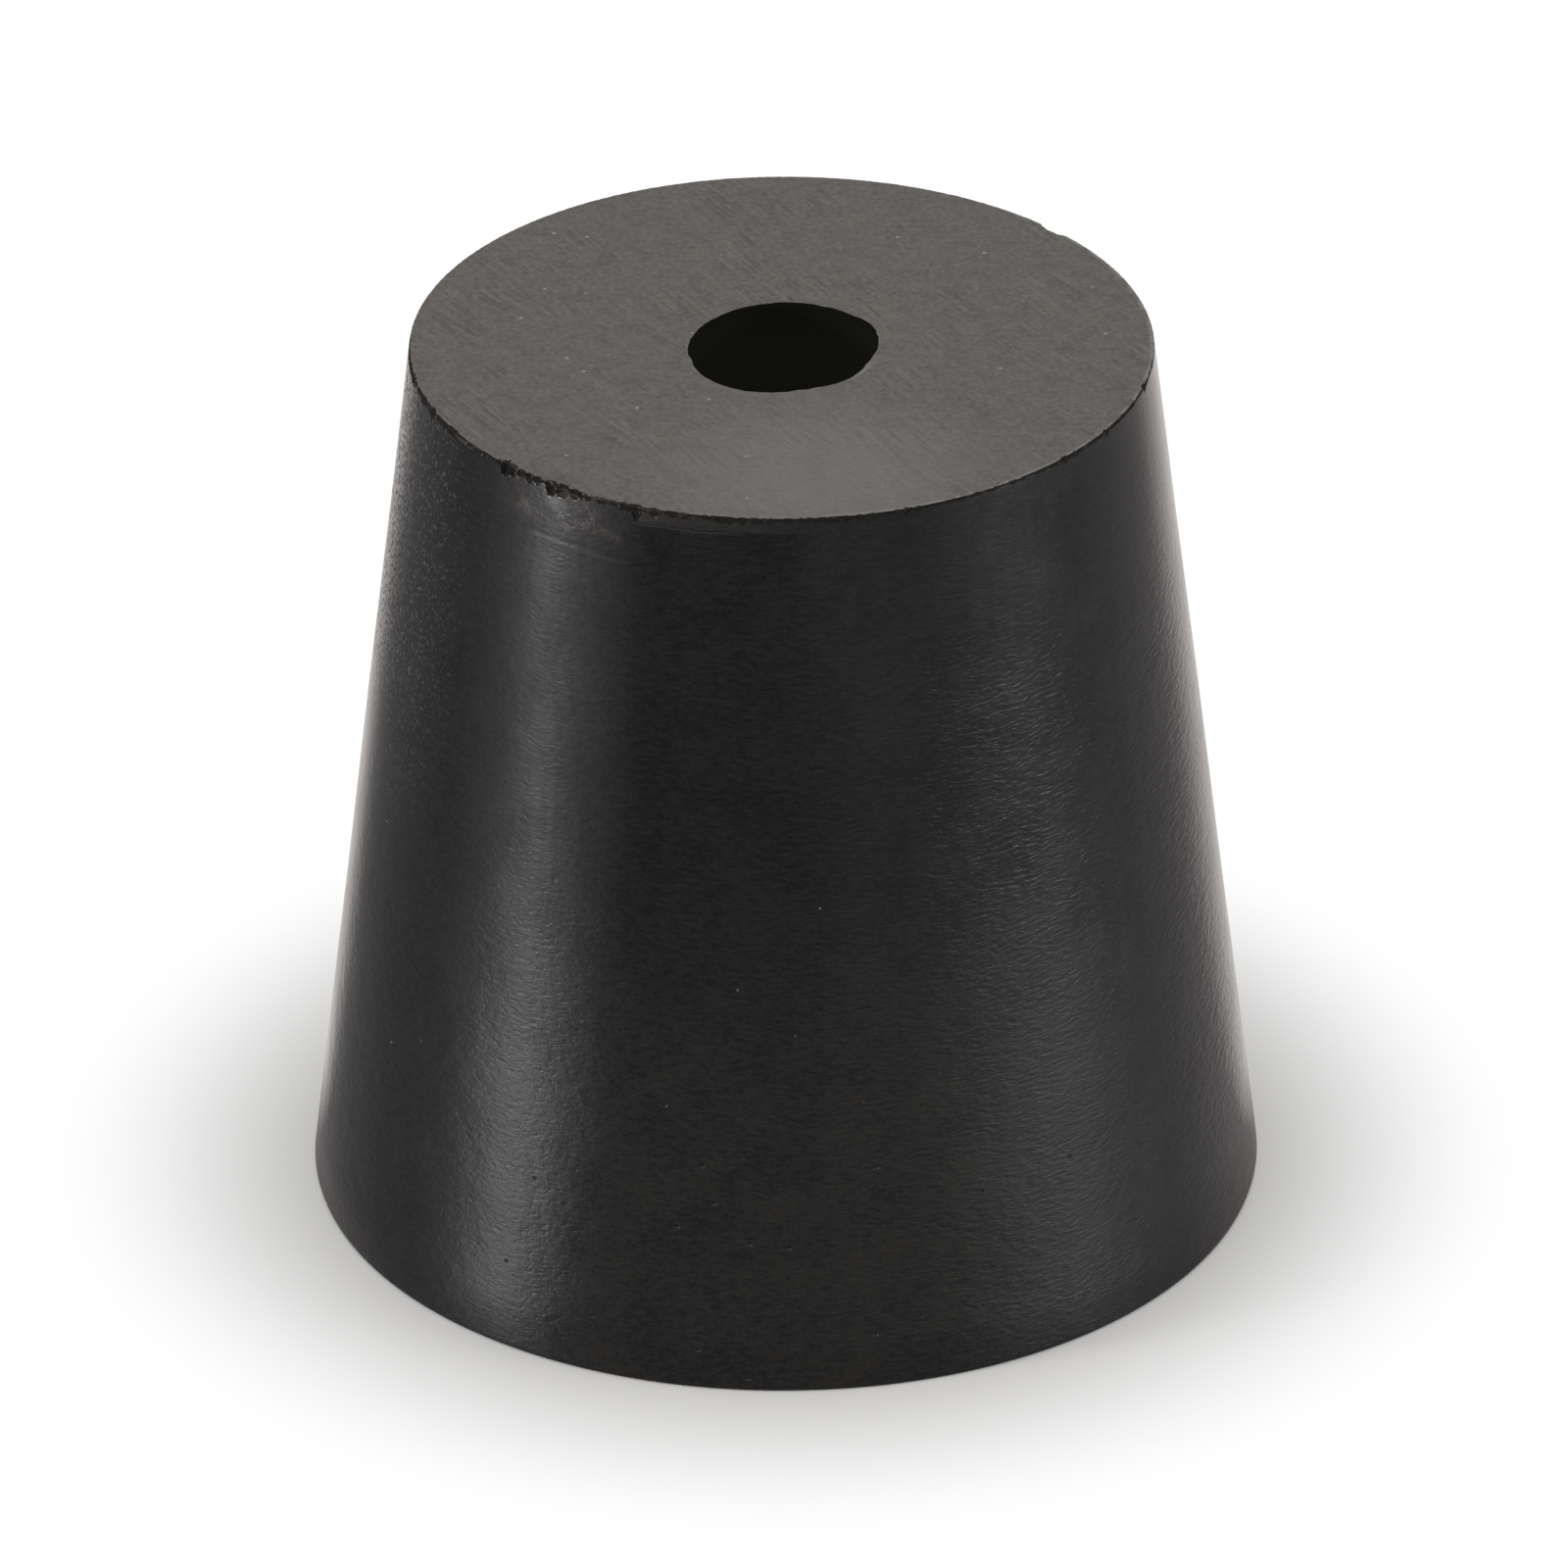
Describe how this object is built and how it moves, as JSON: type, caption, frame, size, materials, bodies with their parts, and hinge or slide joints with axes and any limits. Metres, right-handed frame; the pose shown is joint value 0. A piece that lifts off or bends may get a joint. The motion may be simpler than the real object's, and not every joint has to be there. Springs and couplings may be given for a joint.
{
  "type": "rubber stopper",
  "caption": "Tapered black rubber laboratory stopper with one straight hole through its axis for a glass tube.",
  "frame": {"origin": "centre of the large end's flat face, on the hole's axis", "axes": "+Z along the hole's axis from the large end to the small end; the stopper is round, so +X and +Y are free"},
  "size_m": [0.026, 0.026, 0.025],
  "materials": {
    "rubber": "satin moulded side, matt sanded end faces"
  },
  "bodies": {
    "root": {"stopper": "rubber"}
  },
  "joints": []
}
